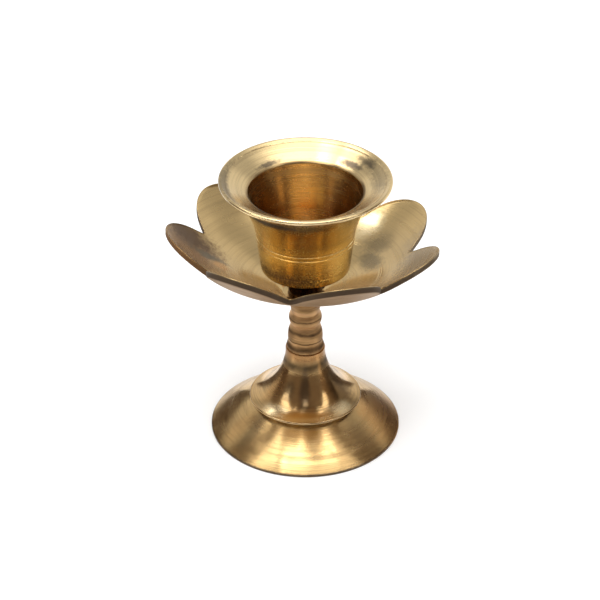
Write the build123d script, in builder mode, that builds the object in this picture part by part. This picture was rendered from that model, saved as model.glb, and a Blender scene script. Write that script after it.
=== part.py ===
"""Turned brass candle stand with a lotus-petal drip dish.

A hollow skirt, a bell-shaped knop, a ringed stem, a seven-petal dish, a spacer neck and a flared
candle cup are stacked on one steel tie rod. The rod is nutted under the skirt and in the floor of
the cup, so the whole stand comes apart with two spanners.

Millimetres, +Z up. The origin is on the axis of the tie rod, in the plane the foot stands on.
"""

import os
from math import atan2, cos, degrees, hypot, pi, sin, tan

from build123d import *

# Driving dimensions ---------------------------------------------------------------------------

# Skirt: the hollow foot, a shallow cone of even wall with a flat seat on top.
FOOT_RADIUS = 34.0
FOOT_EDGE_HEIGHT = 0.7
FOOT_RING_WIDTH = 1.6
SEAT_RADIUS = 17.6
SEAT_HEIGHT = 11.4
SKIRT_BULGE = 0.45
SKIRT_WALL = 1.6

# Knop: the bell between the skirt and the stem.
KNOP_HEIGHT = 21.8
KNOP_LIP_RADIUS = 20.0
KNOP_LIP_THICKNESS = 1.1
KNOP_LIP_LIFT = 0.8
KNOP_LIP_HANDLE = 7.6
KNOP_LIP_SLOPE = 20.0
KNOP_NECK_RADIUS = 7.0
KNOP_NECK_LAND = 1.0
KNOP_NECK_HANDLE = 7.2
KNOP_NECK_CHAMFER = 0.3
SEAT_MARGIN = 0.6
RELIEF_RADIUS = 13.0
RELIEF_DEPTH = 0.6

# Stem: two beads between narrow waists, with a cove at the foot and a collar at the head.
STEM_HEIGHT = 21.4
STEM_FOOT_RADIUS = 6.6
STEM_FOOT_LAND = 0.4
STEM_HEAD_RADIUS = 6.1
STEM_HEAD_LAND = 1.2
WAIST_RADIUS = 5.0
LOW_WAIST_RADIUS = 5.8
LOW_WAIST_HEIGHT = 3.0
LOWER_BEAD_RADIUS = 6.2
LOWER_BEAD_HEIGHT = 6.9
LOWER_BEAD_CREST = 2.3
UPPER_BEAD_RADIUS = 5.85
UPPER_BEAD_HEIGHT = 5.1
SPIGOT_RADIUS = 4.4
SPIGOT_LENGTH = 1.6

# Dish: a shallow cone that bends up steeper into petals and leans on its level hub.
DISH_WALL = 1.7
HUB_RADIUS = 8.4
CONE_START_RADIUS = 7.0
CONE_SLOPE = 24.6
BEND_START_RADIUS = 33.0
BEND_RADIUS = 30.0
PETAL_SLOPE = 40.0
PETAL_COUNT = 7
PETAL_TURN = 31.4
NOTCH_BEYOND_BEND = 3.9
PETAL_REACH = 11.4
PETAL_FLANK = 4.8
NOTCH_ROUND = 1.0
PETAL_EDGE_ROUND = 0.4
DISH_LEAN = 6.2
DISH_LEAN_TOWARDS = 68.0
DISH_SHIFT = 1.3
DISH_SHIFT_TOWARDS = 172.0
SPOT_FACE_MARGIN = 0.4

# Neck: the spool that holds the cup clear of the dish.
NECK_HEIGHT = 10.0
NECK_RADIUS = 6.0
NECK_WAIST_RADIUS = 5.4
NECK_LAND = 1.2

# Candle cup: a tapered pot that opens like a trumpet into a funnel rim.
CUP_HEIGHT = 35.2
CUP_BASE_RADIUS = 15.5
CUP_CORNER = 1.0
CUP_WALL = 1.8
CUP_FLOOR = 2.5
CUP_TAPER = 7.2
TRUMPET_HEIGHT = 13.6
TRUMPET_HANDLE = 8.5
RIM_RADIUS = 29.9
RIM_THICKNESS = 1.5
RIM_SLOPE = 24.0
RIM_HANDLE = 7.0
THROAT_RADIUS = 19.9
THROAT_DEPTH = 4.9
THROAT_SLOPE = 76.0
THROAT_HANDLE = 5.0
SCRIBE_DEPTH = 0.2
SCRIBE_WIDTH = 0.5
SCRIBE_HEIGHTS = (3.4, 12.0, 13.7)

# Tie rod and its hardware, M4.
ROD_RADIUS = 2.0
ROD_STANDOUT = 1.0
ROD_CHAMFER = 0.4
ROD_HOLE_CLEARANCE = 0.2
THREAD_CLEARANCE = 0.05
NUT_FLATS = 7.0
NUT_HEIGHT = 3.2
NUT_CHAMFER = 0.5
WASHER_RADIUS = 7.0
WASHER_THICKNESS = 1.0
SPIGOT_CLEARANCE = 0.1

# How far a face may stand off upright, or an edge off a radius, and still be picked as being there.
PICK_TOLERANCE = 0.01

# Levels of the stack, worked out from the sizes above -------------------------------------------

KNOP_TOP = SEAT_HEIGHT + KNOP_HEIGHT
STEM_TOP = KNOP_TOP + STEM_HEIGHT
HUB_TOP = STEM_TOP + DISH_WALL
CUP_BASE = HUB_TOP + NECK_HEIGHT
CUP_FLOOR_TOP = CUP_BASE + CUP_FLOOR
WASHER_UNDERSIDE = SEAT_HEIGHT - SKIRT_WALL - WASHER_THICKNESS
BASE_NUT_UNDERSIDE = WASHER_UNDERSIDE - NUT_HEIGHT
ROD_BOTTOM = BASE_NUT_UNDERSIDE - ROD_STANDOUT
ROD_TOP = CUP_FLOOR_TOP + NUT_HEIGHT + ROD_STANDOUT

ROD_HOLE_RADIUS = ROD_RADIUS + ROD_HOLE_CLEARANCE
NUT_BORE_RADIUS = ROD_RADIUS + THREAD_CLEARANCE
NOTCH_RADIUS = BEND_START_RADIUS + NOTCH_BEYOND_BEND

os.makedirs("parts", exist_ok=True)


def along(start, angle, length):
    """Return the point at a length and an angle, in degrees, from a start point."""
    return (start[0] + length * cos(angle * pi / 180), start[1] + length * sin(angle * pi / 180))


def cup_side_radius(height):
    """Return the radius of the cup's tapered side at a height above its base."""
    return CUP_BASE_RADIUS + height * tan(CUP_TAPER * pi / 180)


def sawn_faces(blank):
    """Return the upright faces that sawing the rim leaves on the bowl."""
    return blank.faces().filter_by(lambda face: abs(face.normal_at().Z) < PICK_TOLERANCE)


def vertical_edges(blank):
    """Return the upright edges between the sawn faces of the bowl."""
    return blank.edges().filter_by(Axis.Z)


def at_notch(edge):
    """Say whether an upright edge stands at the bottom of a notch."""
    return abs(hypot(edge.center().X, edge.center().Y) - NOTCH_RADIUS) < PICK_TOLERANCE


def hex_nut(underside):
    """Make a plain hexagon nut, chamfered on both faces, that stands on a level."""
    with BuildPart(Plane.XY.offset(underside)) as blank:
        Cylinder(NUT_FLATS / 3**0.5, NUT_HEIGHT, align=(Align.CENTER, Align.CENTER, Align.MIN))
        chamfer(blank.edges().filter_by(GeomType.CIRCLE), NUT_CHAMFER / 2, NUT_CHAMFER)
    with BuildPart() as nut:
        with BuildSketch(Plane.XY.offset(underside)):
            RegularPolygon(NUT_FLATS / 2, 6, major_radius=False)
            Circle(NUT_BORE_RADIUS, mode=Mode.SUBTRACT)
        extrude(amount=NUT_HEIGHT)
        add(blank.part, mode=Mode.INTERSECT)
    return nut.part


# Skirt ------------------------------------------------------------------------------------------

skirt_slope = atan2(SEAT_HEIGHT - FOOT_EDGE_HEIGHT, FOOT_RADIUS - SEAT_RADIUS)
plate_underside = SEAT_HEIGHT - SKIRT_WALL
plate_radius = SEAT_RADIUS - SKIRT_WALL * tan(skirt_slope / 2)

with BuildPart() as foot_skirt:
    with BuildSketch(Plane.XZ):
        with BuildLine():
            Line((FOOT_RADIUS, 0), (FOOT_RADIUS, FOOT_EDGE_HEIGHT))
            SagittaArc((FOOT_RADIUS, FOOT_EDGE_HEIGHT), (SEAT_RADIUS, SEAT_HEIGHT), SKIRT_BULGE)
            Polyline(
                (SEAT_RADIUS, SEAT_HEIGHT),
                (ROD_HOLE_RADIUS, SEAT_HEIGHT),
                (ROD_HOLE_RADIUS, plate_underside),
                (plate_radius, plate_underside),
            )
            SagittaArc((plate_radius, plate_underside), (FOOT_RADIUS - FOOT_RING_WIDTH, 0), -SKIRT_BULGE)
            Line((FOOT_RADIUS - FOOT_RING_WIDTH, 0), (FOOT_RADIUS, 0))
        make_face()
    revolve(axis=Axis.Z)

foot_skirt.part.label = "foot_skirt"
export_step(foot_skirt.part, "parts/foot_skirt.step")

# Knop -------------------------------------------------------------------------------------------

knop_base_radius = SEAT_RADIUS - SEAT_MARGIN
lip_radius = KNOP_LIP_THICKNESS / 2
lip_underside = (KNOP_LIP_RADIUS - lip_radius, SEAT_HEIGHT + KNOP_LIP_LIFT)
lip_top = (KNOP_LIP_RADIUS - lip_radius, SEAT_HEIGHT + KNOP_LIP_LIFT + KNOP_LIP_THICKNESS)
neck_start = (KNOP_NECK_RADIUS, KNOP_TOP - KNOP_NECK_LAND)

with BuildPart() as bell_knop:
    with BuildSketch(Plane.XZ):
        with BuildLine():
            Polyline(
                (0, KNOP_TOP),
                (0, SEAT_HEIGHT),
                (knop_base_radius, SEAT_HEIGHT),
                lip_underside,
            )
            ThreePointArc(lip_underside, along(lip_underside, 45, 2**0.5 * lip_radius), lip_top)
            Bezier(
                lip_top,
                along(lip_top, 180 - KNOP_LIP_SLOPE, KNOP_LIP_HANDLE),
                (KNOP_NECK_RADIUS, neck_start[1] - KNOP_NECK_HANDLE),
                neck_start,
            )
            Polyline(neck_start, (KNOP_NECK_RADIUS, KNOP_TOP), (0, KNOP_TOP))
        make_face()
    revolve(axis=Axis.Z)
    top_rim = bell_knop.faces().sort_by(Axis.Z)[-1].outer_wire()
    chamfer(top_rim.edges(), KNOP_NECK_CHAMFER)
    with Locations((0, 0, KNOP_TOP)):
        CounterBoreHole(
            ROD_HOLE_RADIUS,
            SPIGOT_RADIUS + SPIGOT_CLEARANCE,
            SPIGOT_LENGTH + SPIGOT_CLEARANCE,
        )
    with BuildSketch(Plane.XY.offset(SEAT_HEIGHT)):
        Circle(RELIEF_RADIUS)
    extrude(amount=RELIEF_DEPTH, mode=Mode.SUBTRACT)

bell_knop.part.label = "bell_knop"
export_step(bell_knop.part, "parts/bell_knop.step")

# Stem -------------------------------------------------------------------------------------------

lower_bead_bottom = (LOW_WAIST_RADIUS, KNOP_TOP + LOW_WAIST_HEIGHT)
lower_bead_top = (WAIST_RADIUS, lower_bead_bottom[1] + LOWER_BEAD_HEIGHT)
upper_bead_top = (WAIST_RADIUS, lower_bead_top[1] + UPPER_BEAD_HEIGHT)
head_start = (STEM_HEAD_RADIUS, STEM_TOP - STEM_HEAD_LAND)

with BuildPart() as stem:
    with BuildSketch(Plane.XZ):
        with BuildLine():
            Polyline(
                (ROD_HOLE_RADIUS, STEM_TOP),
                (ROD_HOLE_RADIUS, KNOP_TOP - SPIGOT_LENGTH),
                (SPIGOT_RADIUS, KNOP_TOP - SPIGOT_LENGTH),
                (SPIGOT_RADIUS, KNOP_TOP),
                (STEM_FOOT_RADIUS, KNOP_TOP),
                (STEM_FOOT_RADIUS, KNOP_TOP + STEM_FOOT_LAND),
            )
            TangentArc(
                lower_bead_bottom,
                (STEM_FOOT_RADIUS, KNOP_TOP + STEM_FOOT_LAND),
                tangent=(0, -1),
            )
            ThreePointArc(
                lower_bead_bottom,
                (LOWER_BEAD_RADIUS, lower_bead_bottom[1] + LOWER_BEAD_CREST),
                lower_bead_top,
            )
            ThreePointArc(
                lower_bead_top,
                (UPPER_BEAD_RADIUS, lower_bead_top[1] + UPPER_BEAD_HEIGHT / 2),
                upper_bead_top,
            )
            TangentArc(head_start, upper_bead_top, tangent=(0, -1))
            Line(head_start, (STEM_HEAD_RADIUS, STEM_TOP))
            Line((STEM_HEAD_RADIUS, STEM_TOP), (ROD_HOLE_RADIUS, STEM_TOP))
        make_face()
    revolve(axis=Axis.Z)

stem.part.label = "stem"
export_step(stem.part, "parts/stem.step")

# Petal dish -------------------------------------------------------------------------------------
# The bowl is turned first and its rim is then sawn into petals. Last it is set leaning on its hub, a
# little off the rod, and spot-faced over the stem and under the neck.

petal_tip_radius = NOTCH_RADIUS + PETAL_REACH
notch = (NOTCH_RADIUS * sin(pi / PETAL_COUNT), NOTCH_RADIUS * cos(pi / PETAL_COUNT))
tip_rise = petal_tip_radius - notch[1]
tip_arc = (notch[0] ** 2 + tip_rise**2 - PETAL_FLANK**2) / (2 * tip_rise)
arc_centre = (0, petal_tip_radius - tip_arc)
notch_bearing = atan2(notch[1] - arc_centre[1], notch[0])
flank_bearing = notch_bearing + atan2(PETAL_FLANK, tip_arc)
flank_end = along(arc_centre, degrees(flank_bearing), tip_arc)

cone_length = (BEND_START_RADIUS - CONE_START_RADIUS) / cos(CONE_SLOPE * pi / 180)
petal_length = petal_tip_radius - BEND_START_RADIUS
underside_start = (CONE_START_RADIUS, STEM_TOP)
inside_start = along(underside_start, CONE_SLOPE + 90, DISH_WALL)


def bowl_line(start, bend_radius):
    """Draw one face of the bowl, cone, bend and petal, and return its last point."""
    cone = PolarLine(start, cone_length, CONE_SLOPE)
    bend = JernArc(cone @ 1, cone % 1, bend_radius, PETAL_SLOPE - CONE_SLOPE)
    petal = PolarLine(bend @ 1, petal_length, PETAL_SLOPE)
    return petal @ 1


with BuildPart() as petal_bowl:
    with BuildSketch(Plane.XZ):
        with BuildLine():
            underside_end = bowl_line(underside_start, BEND_RADIUS)
            inside_end = bowl_line(inside_start, BEND_RADIUS - DISH_WALL)
            Line(underside_start, inside_start)
            Line(underside_end, inside_end)
        make_face()
    revolve(axis=Axis.Z)
    with BuildSketch(Plane.XY.offset(STEM_TOP - DISH_WALL)) as petal_plan:
        for count in range(PETAL_COUNT):
            turn = PETAL_TURN - 90 + count * 360 / PETAL_COUNT
            with BuildLine(Plane.XY.rotated((0, 0, turn))):
                Polyline((-flank_end[0], flank_end[1]), (-notch[0], notch[1]), (0, 0), notch, flank_end)
                ThreePointArc(flank_end, (0, petal_tip_radius), (-flank_end[0], flank_end[1]))
            make_face()
    extrude(amount=inside_end.Y - STEM_TOP + 2 * DISH_WALL, mode=Mode.INTERSECT)
    fillet(vertical_edges(petal_bowl).filter_by(at_notch), NOTCH_ROUND)
    outline = ShapeList(edge for face in sawn_faces(petal_bowl) for edge in face.edges())
    fillet(outline.filter_by(Axis.Z, reverse=True), PETAL_EDGE_ROUND)

lean_axis = Axis((0, 0, STEM_TOP), along((0, 0), DISH_LEAN_TOWARDS + 90, 1) + (0,))
dish_centre = along((0, 0), DISH_SHIFT_TOWARDS, DISH_SHIFT)

with BuildPart() as petal_dish:
    with Locations(dish_centre):
        add(petal_bowl.part.rotate(lean_axis, DISH_LEAN))
    with BuildSketch(Plane.XY.offset(STEM_TOP)):
        with Locations(dish_centre):
            Circle(HUB_RADIUS)
    extrude(amount=DISH_WALL)
    for level, seated, depth in ((STEM_TOP, STEM_HEAD_RADIUS, -DISH_WALL), (HUB_TOP, NECK_RADIUS, DISH_WALL)):
        with BuildSketch(Plane.XY.offset(level)):
            Circle(seated + SPOT_FACE_MARGIN)
        extrude(amount=depth, mode=Mode.SUBTRACT)
    with Locations((0, 0, HUB_TOP)):
        Hole(ROD_HOLE_RADIUS)

petal_dish.part.label = "petal_dish"
export_step(petal_dish.part, "parts/petal_dish.step")

# Neck -------------------------------------------------------------------------------------------

with BuildPart() as cup_neck:
    with BuildSketch(Plane.XZ):
        with BuildLine():
            Polyline(
                (NECK_RADIUS, HUB_TOP + NECK_LAND),
                (NECK_RADIUS, HUB_TOP),
                (ROD_HOLE_RADIUS, HUB_TOP),
                (ROD_HOLE_RADIUS, CUP_BASE),
                (NECK_RADIUS, CUP_BASE),
                (NECK_RADIUS, CUP_BASE - NECK_LAND),
            )
            ThreePointArc(
                (NECK_RADIUS, CUP_BASE - NECK_LAND),
                (NECK_WAIST_RADIUS, (HUB_TOP + CUP_BASE) / 2),
                (NECK_RADIUS, HUB_TOP + NECK_LAND),
            )
        make_face()
    revolve(axis=Axis.Z)

cup_neck.part.label = "cup_neck"
export_step(cup_neck.part, "parts/cup_neck.step")

# Candle cup -------------------------------------------------------------------------------------
# The outside is one taper, one trumpet curve and a rounded lip. The inside keeps the wall's width
# up to the throat, where the funnel of the rim begins at a crisp edge.

cup_top = CUP_BASE + CUP_HEIGHT
trumpet_start = (cup_side_radius(TRUMPET_HEIGHT), CUP_BASE + TRUMPET_HEIGHT)
side_wall = CUP_WALL / cos(CUP_TAPER * pi / 180)
inside_base = (cup_side_radius(CUP_FLOOR) - side_wall, CUP_FLOOR_TOP)
inside_shoulder = (trumpet_start[0] - side_wall, trumpet_start[1])
throat = (THROAT_RADIUS, cup_top - THROAT_DEPTH)
lip_centre = (RIM_RADIUS - RIM_THICKNESS / 2, cup_top - RIM_THICKNESS / 2)
lip_outside = along(lip_centre, RIM_SLOPE - 90, RIM_THICKNESS / 2)
lip_inside = along(lip_centre, RIM_SLOPE + 90, RIM_THICKNESS / 2)
scribe_flank = hypot(SCRIBE_WIDTH / 2, SCRIBE_DEPTH)

with BuildPart() as candle_cup:
    with BuildSketch(Plane.XZ):
        with BuildLine():
            Polyline((0, CUP_FLOOR_TOP), (0, CUP_BASE), (CUP_BASE_RADIUS, CUP_BASE), trumpet_start)
            Bezier(
                trumpet_start,
                along(trumpet_start, 90 - CUP_TAPER, TRUMPET_HANDLE),
                along(lip_outside, RIM_SLOPE + 180, RIM_HANDLE),
                lip_outside,
            )
            ThreePointArc(lip_outside, along(lip_centre, RIM_SLOPE, RIM_THICKNESS / 2), lip_inside)
            Line(lip_inside, throat)
            Bezier(
                throat,
                along(throat, THROAT_SLOPE - 180, THROAT_HANDLE),
                along(inside_shoulder, 90 - CUP_TAPER, THROAT_HANDLE),
                inside_shoulder,
            )
            Polyline(inside_shoulder, inside_base, (0, CUP_FLOOR_TOP))
        make_face()
    revolve(axis=Axis.Z)
    base_corner = candle_cup.faces().sort_by(Axis.Z)[0].outer_wire()
    fillet(base_corner.edges(), CUP_CORNER)
    with BuildSketch(Plane.XZ):
        for height in SCRIBE_HEIGHTS:
            with Locations((cup_side_radius(height), CUP_BASE + height)):
                Triangle(c=SCRIBE_WIDTH, b=scribe_flank, a=scribe_flank)
    revolve(axis=Axis.Z, mode=Mode.SUBTRACT)
    with Locations((0, 0, CUP_FLOOR_TOP)):
        Hole(ROD_HOLE_RADIUS)

candle_cup.part.label = "candle_cup"
export_step(candle_cup.part, "parts/candle_cup.step")

# Tie rod, washer and nuts -----------------------------------------------------------------------

with BuildPart(Plane.XY.offset(ROD_BOTTOM)) as tie_rod:
    Cylinder(ROD_RADIUS, ROD_TOP - ROD_BOTTOM, align=(Align.CENTER, Align.CENTER, Align.MIN))
    chamfer(tie_rod.edges().filter_by(GeomType.CIRCLE), ROD_CHAMFER)

tie_rod.part.label = "tie_rod"
export_step(tie_rod.part, "parts/tie_rod.step")

with BuildPart() as base_washer:
    with BuildSketch(Plane.XY.offset(WASHER_UNDERSIDE)):
        Circle(WASHER_RADIUS)
        Circle(ROD_HOLE_RADIUS, mode=Mode.SUBTRACT)
    extrude(amount=WASHER_THICKNESS)

base_washer.part.label = "base_washer"
export_step(base_washer.part, "parts/base_washer.step")

base_nut = hex_nut(BASE_NUT_UNDERSIDE)
base_nut.label = "base_nut"
export_step(base_nut, "parts/base_nut.step")

cup_nut = hex_nut(CUP_FLOOR_TOP)
cup_nut.label = "cup_nut"
export_step(cup_nut, "parts/cup_nut.step")
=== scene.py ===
"""Looks of a turned brass lotus candle holder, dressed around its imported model.

Metres, +Z up. The stand's axis is Z, its foot stands on Z = 0, and -Y is the front. Each turned piece
is an outline in the plane of radius and height, swept round the axis by one Geometry Nodes tree. The
dish is one petal, repeated round the axis by another.
"""

import logging
from collections.abc import Callable
from dataclasses import dataclass, field
from enum import Enum
from functools import reduce
from math import atan2, ceil, cos, degrees, hypot, pi, radians, sin, sqrt, tan

import bmesh
import bpy
from mathutils import Matrix, Vector


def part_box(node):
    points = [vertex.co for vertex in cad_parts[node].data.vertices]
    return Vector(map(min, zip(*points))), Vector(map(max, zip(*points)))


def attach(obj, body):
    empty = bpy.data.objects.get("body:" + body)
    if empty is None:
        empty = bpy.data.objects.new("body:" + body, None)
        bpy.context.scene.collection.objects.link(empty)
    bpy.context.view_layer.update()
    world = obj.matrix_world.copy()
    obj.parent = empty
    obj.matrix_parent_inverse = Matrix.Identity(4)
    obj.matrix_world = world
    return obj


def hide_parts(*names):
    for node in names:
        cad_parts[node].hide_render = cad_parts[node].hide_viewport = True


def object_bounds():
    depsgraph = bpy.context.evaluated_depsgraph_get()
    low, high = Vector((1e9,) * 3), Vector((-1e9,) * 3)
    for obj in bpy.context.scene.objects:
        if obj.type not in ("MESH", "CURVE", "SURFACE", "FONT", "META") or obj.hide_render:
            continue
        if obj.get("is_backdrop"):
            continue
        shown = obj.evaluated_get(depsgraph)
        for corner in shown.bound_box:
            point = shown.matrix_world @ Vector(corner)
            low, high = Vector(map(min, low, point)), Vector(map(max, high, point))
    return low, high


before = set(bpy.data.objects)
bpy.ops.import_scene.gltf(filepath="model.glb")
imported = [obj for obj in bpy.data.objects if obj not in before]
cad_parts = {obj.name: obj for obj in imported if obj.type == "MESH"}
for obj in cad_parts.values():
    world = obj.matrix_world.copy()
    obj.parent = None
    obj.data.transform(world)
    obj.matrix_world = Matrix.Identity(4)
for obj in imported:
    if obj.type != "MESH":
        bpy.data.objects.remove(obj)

MM = 0.001
BODY = "root"
WELD = 1e-6
LEAN, LEAN_TOWARDS = 6.2, 68.0  # of the dish, in degrees
SHARED_KINDS = ("Math", "SeparateXYZ", "CombineXYZ")  # shader nodes that Geometry Nodes use too
SHAPING = ("Across Flats", "Thread Pitch", "Thread Depth", "Thread Core")  # inputs of the turning tree

log = logging.getLogger("candle_holder")

Point = tuple[float, float]
Triple = tuple[float, float, float]
Piece = bpy.types.Object


class Slot(Enum):
    """The record's material slots."""

    FOOT = "foot_brass"
    KNOP = "knop_brass"
    STEM = "stem_brass"
    DISH = "dish_brass"
    CUP = "cup_brass"
    STEEL = "steel"


# Outlines -----------------------------------------------------------------------------------------


def along(start: Point, angle: float, length: float) -> Point:
    """Step from a radius and height, at an angle in degrees from the outward radius towards up."""
    return (start[0] + length * cos(radians(angle)), start[1] + length * sin(radians(angle)))


def eased(value: float, low: float, high: float) -> float:
    """Ease from 0 to 1 as a value goes from low to high."""
    share = min(1.0, max(0.0, (value - low) / (high - low)))
    return share * share * (3 - 2 * share)


def spaced(start: float, end: float, steps: int) -> list[float]:
    """List evenly spaced values from start to end."""
    return [start + (end - start) * step / steps for step in range(steps + 1)]


def heading(bearing: float) -> Vector:
    """Return the level unit vector at a bearing, in degrees from the X axis."""
    return Vector((cos(radians(bearing)), sin(radians(bearing)), 0.0))


def heights(node: str) -> Point:
    """Return the heights of a CAD node's underside and top."""
    low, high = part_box(node)
    return low.z, high.z


@dataclass
class Outline:
    """A closed outline in the plane of radius and height, drawn run by run.

    Args:
        points: Its points so far, in metres.
        curve_steps: How many straight runs stand for one curve.
    """

    points: list[Point] = field(default_factory=list)
    curve_steps: int = 24

    def to(self, *ends: Point) -> "Outline":
        """Draw straight runs to each of the ends in turn."""
        self.points.extend(ends)
        return self

    def bezier(self, first: Point, second: Point, end: Point) -> "Outline":
        """Draw a cubic curve.

        Args:
            first: Handle of the start.
            second: Handle of the end.
            end: Where the curve ends.

        Returns:
            The outline itself.
        """
        corners = (self.points[-1], first, second, end)
        for t in spaced(0.0, 1.0, self.curve_steps)[1:]:
            weights = ((1 - t) ** 3, 3 * t * (1 - t) ** 2, 3 * t * t * (1 - t), t**3)
            self.points.append(tuple(sum(w * c[i] for w, c in zip(weights, corners)) for i in (0, 1)))
        return self

    def arc(self, middle: Point, end: Point) -> "Outline":
        """Draw a circular arc through a middle point.

        Args:
            middle: A point on the arc.
            end: Where the arc ends.

        Returns:
            The outline itself.
        """
        start, mid, last = (Vector(p) for p in (self.points[-1], middle, end))
        a, b = mid - start, last - start
        cross = 2 * (a.x * b.y - a.y * b.x)
        centre = start + Vector((
            (b.y * a.length_squared - a.y * b.length_squared) / cross,
            (a.x * b.length_squared - b.x * a.length_squared) / cross,
        ))
        first, passed, final = (atan2(p.y - centre.y, p.x - centre.x) for p in (start, mid, last))
        sweep = (final - first) % (2 * pi)
        if (passed - first) % (2 * pi) > sweep:
            sweep -= 2 * pi
        radius = (start - centre).length
        for turn in spaced(first, first + sweep, self.curve_steps)[1:]:
            self.points.append((centre.x + radius * cos(turn), centre.y + radius * sin(turn)))
        return self

    def bowed(self, end: Point, sagitta: float) -> "Outline":
        """Draw a shallow arc.

        Args:
            end: Where it ends.
            sagitta: How far it stands out to the right of its chord.

        Returns:
            The outline itself.
        """
        start, last = Vector(self.points[-1]), Vector(end)
        chord = last - start
        side = Vector((chord.y, -chord.x)).normalized()
        return self.arc(tuple((start + last) / 2 + side * sagitta), end)

    def softened(self, radius: float, least_turn: float = 14.0, steps: int = 4, pin: float = 1.6) -> "Outline":
        """Round every corner, as a turner's file does.

        Args:
            radius: How far back from a corner the rounding starts.
            least_turn: Smallest turn, in degrees, that counts as a corner.
            steps: Straight runs in each rounded corner.
            pin: How many times as far back a point pins the normals of the runs beside it.

        Returns:
            A new outline.
        """
        soft = Outline(curve_steps=self.curve_steps)
        for index, here in enumerate(self.points):
            corner = Vector(here)
            back = Vector(self.points[index - 1]) - corner
            ahead = Vector(self.points[(index + 1) % len(self.points)]) - corner
            if pi - back.angle(ahead) < radians(least_turn):
                soft.to(here)
                continue
            reach = min(radius, back.length / 3, ahead.length / 3)
            start, end = (corner + way.normalized() * reach for way in (back, ahead))
            before, after = (tuple(corner + way.normalized() * reach * pin) for way in (back, ahead))
            rounded = [start.lerp(corner, t).lerp(corner.lerp(end, t), t) for t in spaced(0.0, 1.0, steps)]
            soft.to(before, *map(tuple, rounded), after)
        return soft


# Nodes --------------------------------------------------------------------------------------------


def reckoned(operation: str, swapped: bool = False) -> Callable[..., "Value"]:
    """Make a method of Value that adds one Math node.

    Args:
        operation: What the node does.
        swapped: Whether the value comes last.

    Returns:
        The method.
    """

    def method(value: "Value", *others: object) -> "Value":
        """Add the node and return its result."""
        values = (*others, value) if swapped else (value, *others)
        return value.nodes.node("Math", dict(enumerate(values)), operation=operation)

    return method


@dataclass(frozen=True)
class Value:
    """A node's output. Each step that is reckoned with it adds a node.

    Args:
        nodes: The tree that it belongs to.
        socket: The output's socket.
    """

    nodes: "Nodes"
    socket: bpy.types.NodeSocket

    __add__ = reckoned("ADD")
    __mul__ = reckoned("MULTIPLY")
    __sub__ = reckoned("SUBTRACT")
    __rsub__ = reckoned("SUBTRACT", swapped=True)
    __truediv__ = reckoned("DIVIDE")
    __rtruediv__ = reckoned("DIVIDE", swapped=True)
    __mod__ = reckoned("MODULO")
    __abs__ = reckoned("ABSOLUTE")
    larger = reckoned("MAXIMUM")
    smaller = reckoned("MINIMUM")
    floor = reckoned("FLOOR")
    sine = reckoned("SINE")
    cosine = reckoned("COSINE")
    pingpong = reckoned("PINGPONG")

    def ramp(self, low: float, high: float, bottom: float = 0.0, top: float = 1.0) -> "Value":
        """Ease from bottom to top as the value goes from low to high."""
        sockets = {"Value": self, "From Min": low, "From Max": high, "To Min": bottom, "To Max": top}
        return self.nodes.node("MapRange", sockets, interpolation_type="SMOOTHSTEP")

    def rings(self, spots: list[Triple], peak: float = 1.0) -> "Value":
        """Find how far a height lies in any of the rings.

        Args:
            spots: Height, inner half width and outer half width of each ring.
            peak: The result up to the inner half width, from where it fades to 0.

        Returns:
            The largest result.
        """
        shares = [abs(self - height).ramp(inner, outer, peak, 0.0) for height, inner, outer in spots]
        return reduce(Value.larger, shares)

    def noise(self, scale: float, detail: float = 2.0) -> "Value":
        """Look up noise at this place, which is about 0.5 on average."""
        return self.nodes.node("TexNoise", {"Vector": self, "Scale": scale, "Detail": detail})

    def measured(self, operation: str, *others: object) -> "Value":
        """Get a number from vectors, such as a length, a distance or a dot product."""
        return self.nodes.node("VectorMath", dict(enumerate((self, *others))), "Value", operation=operation)

    def parts(self) -> list["Value"]:
        """Split a vector into x, y and z."""
        return [Value(self.nodes, part) for part in self.nodes.add("SeparateXYZ", {0: self}).outputs]


class Nodes:
    """A short way to write the nodes of a tree.

    Args:
        tree: The tree, which is emptied first.
        prefix: How the names of its own kinds of node start.
    """

    def __init__(self, tree: bpy.types.NodeTree, prefix: str = "ShaderNode") -> None:
        """Empty the tree."""
        self.tree, self.prefix = tree, prefix
        self.tree.nodes.clear()

    def add(self, kind: str, inputs: dict | None = None, **settings: object) -> bpy.types.Node:
        """Add a node.

        Args:
            kind: Its kind, without the prefix.
            inputs: What goes into it, by name or by number.
            settings: Its own settings.

        Returns:
            The node.
        """
        made = self.tree.nodes.new(("ShaderNode" if kind in SHARED_KINDS else self.prefix) + kind)
        for key, value in settings.items():
            setattr(made, key, value)
        for key, value in (inputs or {}).items():
            if isinstance(value, Value):
                self.tree.links.new(value.socket, made.inputs[key])
            else:
                made.inputs[key].default_value = value
        return made

    def node(self, kind: str, inputs: dict | None = None, pick: int | str = 0, **settings: object) -> Value:
        """Add a node as add does, and return one of its outputs."""
        return Value(self, self.add(kind, inputs, **settings).outputs[pick])

    def mix(self, factor: Value, first: Value | Triple, second: Value | Triple) -> Value:
        """Mix two colours."""
        first, second = (paint if isinstance(paint, Value) else (*paint, 1.0) for paint in (first, second))
        return self.node("Mix", {"Factor": factor, 6: first, 7: second}, 2, data_type="RGBA")

    def seen_by(self, *rays: str) -> Value:
        """Return 1 for the kinds of ray that are named and 0 for the others."""
        path = self.add("LightPath").outputs
        return reduce(Value.larger, [Value(self, path[f"Is {ray} Ray"]) for ray in rays])

    def end(self, kind: str, result: Value) -> None:
        """Join a result to the tree's output node."""
        self.tree.links.new(result.socket, self.tree.nodes.new(kind).inputs[0])


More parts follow.
